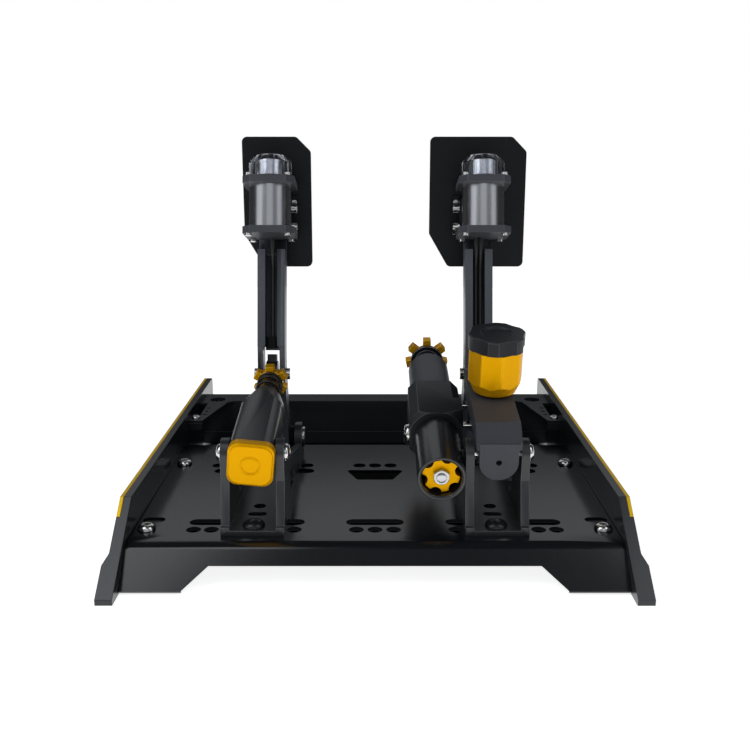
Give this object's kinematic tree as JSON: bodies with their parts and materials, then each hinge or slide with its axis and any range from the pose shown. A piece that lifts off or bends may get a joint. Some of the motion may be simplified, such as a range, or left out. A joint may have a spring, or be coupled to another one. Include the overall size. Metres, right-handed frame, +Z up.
{
  "type": "sim racing pedal set",
  "caption": "Sim racing pedal set on a low railed base: throttle with a sprung strut, hydraulic brake with reservoir and adjusters, and a haptic motor on each arm.",
  "frame": {"origin": "centre of the footprint on the floor", "axes": "X across the set, +Y towards the driver along the rails, +Z up"},
  "size_m": [0.406, 0.451, 0.33],
  "materials": {
    "black_coat": "fine satin black coating",
    "black_anodised": "satin black anodised aluminium",
    "gold_anodised": "satin gold anodised aluminium",
    "chrome": "bright nickel plating",
    "steel": "ground steel",
    "gunmetal": "dark gunmetal plating",
    "black_steel": "black oxide steel",
    "clear_plastic": "clear polycarbonate",
    "rubber": "matt rubber",
    "elastomer": "polyurethane",
    "plastic": "moulded plastic",
    "board": "circuit board laminate"
  },
  "bodies": {
    "base": {"base_plate": "black_coat", "left_rail": "black_coat", "right_rail": "black_coat", "left_rail_trim": "gold_anodised", "right_rail_trim": "gold_anodised", "heel_rest": "black_coat", "heel_crossbar": "black_coat", "base_screws": "chrome", "controller_box": "plastic", "controller_board": "board", "throttle_bracket": "black_anodised", "brake_bracket": "black_anodised", "bracket_bolts": "black_steel", "trunnion_bolts": "chrome", "throttle_pivot_pin": "steel", "brake_pivot_pin": "steel", "throttle_sensor": "plastic"},
    "throttle_pedal": {"throttle_arm": "black_anodised", "throttle_bushes": "plastic", "throttle_pad": "black_coat", "throttle_pad_bracket": "black_coat", "throttle_screws": "chrome", "throttle_motor_can": "gunmetal", "throttle_motor_clamps": "black_anodised", "throttle_motor_cap": "clear_plastic", "throttle_motor_lead": "rubber", "throttle_rod_pin": "chrome"},
    "throttle_rotor": {"throttle_motor_rotor": "steel"},
    "throttle_strut": {"throttle_strut_body": "black_anodised", "throttle_end_cap": "gold_anodised", "throttle_spring": "black_steel"},
    "throttle_rod_body": {"throttle_rod": "black_steel"},
    "throttle_knob": {"throttle_preload_knob": "gold_anodised"},
    "brake_pedal": {"brake_arm": "black_anodised", "brake_bushes": "plastic", "brake_pad": "black_coat", "brake_pad_bracket": "black_coat", "brake_screws": "chrome", "brake_motor_can": "gunmetal", "brake_motor_clamps": "black_anodised", "brake_motor_cap": "clear_plastic", "brake_motor_lead": "rubber", "brake_rod_pin": "chrome"},
    "brake_rotor": {"brake_motor_rotor": "steel"},
    "brake_unit": {"master_block": "black_anodised", "reservoir_cup": "gold_anodised", "reservoir_fitting": "gold_anodised", "slave_block": "black_anodised", "slave_tube": "black_anodised", "slave_nose": "black_anodised", "slave_index_ring": "black_anodised", "elastomer_stack": "elastomer", "slave_bolts": "chrome", "pressure_sensor": "steel", "slave_stud": "steel"},
    "brake_pushrod": {"master_piston": "black_steel"},
    "reservoir_lid": {"reservoir_cap": "black_anodised"},
    "slave_preload": {"slave_preload_knob": "gold_anodised"},
    "slave_damping": {"slave_damping_knob": "gold_anodised"},
    "slave_ram": {"slave_piston": "steel"}
  },
  "joints": [
    {"name": "throttle_press", "type": "hinge", "parent": "base", "child": "throttle_pedal", "pos_m": [-0.095, 0.028, 0.048], "axis": [1, 0, 0], "range_deg": [0, 15], "stiffness_Nm_per_rad": 12, "springref_deg": -11.46},
    {"name": "throttle_motor_spin", "type": "hinge", "parent": "throttle_pedal", "child": "throttle_rotor", "pos_m": [-0.095, 0.02035, 0.26721], "axis": [0, 0.2504, 0.9681], "continuous": true},
    {"name": "throttle_strut_tilt", "type": "hinge", "parent": "base", "child": "throttle_strut", "pos_m": [-0.095, -0.146, 0.09], "axis": [1, 0, 0], "range_deg": [-2.6, 0.2]},
    {"name": "throttle_rod_slide", "type": "slide", "parent": "throttle_strut", "child": "throttle_rod_body", "axis": [0, 0.9848, 0.174], "range_m": [-0.0195, 0], "deforming": ["throttle_spring"]},
    {"name": "throttle_preload_turn", "type": "hinge", "parent": "throttle_rod_body", "child": "throttle_knob", "pos_m": [-0.095, -0.01306, 0.11349], "axis": [0, 0.9848, 0.174], "continuous": true},
    {"name": "brake_press", "type": "hinge", "parent": "base", "child": "brake_pedal", "pos_m": [0.095, 0.028, 0.048], "axis": [1, 0, 0], "range_deg": [0, 6], "stiffness_Nm_per_rad": 60, "springref_deg": -3.44},
    {"name": "brake_motor_spin", "type": "hinge", "parent": "brake_pedal", "child": "brake_rotor", "pos_m": [0.098, 0.02035, 0.26721], "axis": [0, 0.2504, 0.9681], "continuous": true},
    {"name": "brake_unit_tilt", "type": "hinge", "parent": "base", "child": "brake_unit", "pos_m": [0.095, -0.146, 0.09], "axis": [1, 0, 0], "range_deg": [-0.9, 0.1]},
    {"name": "brake_pushrod_slide", "type": "slide", "parent": "brake_unit", "child": "brake_pushrod", "axis": [0, 0.9848, 0.174], "range_m": [-0.008, 0]},
    {"name": "reservoir_lid_turn", "type": "hinge", "parent": "brake_unit", "child": "reservoir_lid", "pos_m": [0.098, -0.10303, 0.16867], "axis": [0, -0.174, 0.9848], "continuous": true},
    {"name": "slave_preload_turn", "type": "hinge", "parent": "brake_unit", "child": "slave_preload", "pos_m": [0.051, -0.15699, 0.0775], "axis": [0, 0.9848, 0.174], "continuous": true},
    {"name": "slave_damping_turn", "type": "hinge", "parent": "brake_unit", "child": "slave_damping", "pos_m": [0.051, 0.04587, 0.11334], "axis": [0, 0.9848, 0.174], "range_deg": [-135, 135]},
    {"name": "slave_ram_slide", "type": "slide", "parent": "brake_unit", "child": "slave_ram", "axis": [0, 0.9848, 0.174], "range_m": [-0.0042, 0], "deforming": ["elastomer_stack"]}
  ],
  "couplings": [
    {"joint": "throttle_strut_tilt", "follows": "throttle_press", "ratio": -0.14054},
    {"joint": "throttle_rod_slide", "follows": "throttle_press", "m_per_rad": -0.069208},
    {"joint": "brake_unit_tilt", "follows": "brake_press", "ratio": -0.10124},
    {"joint": "brake_pushrod_slide", "follows": "brake_press", "m_per_rad": -0.070801},
    {"joint": "slave_ram_slide", "follows": "brake_press", "m_per_rad": -0.038}
  ]
}
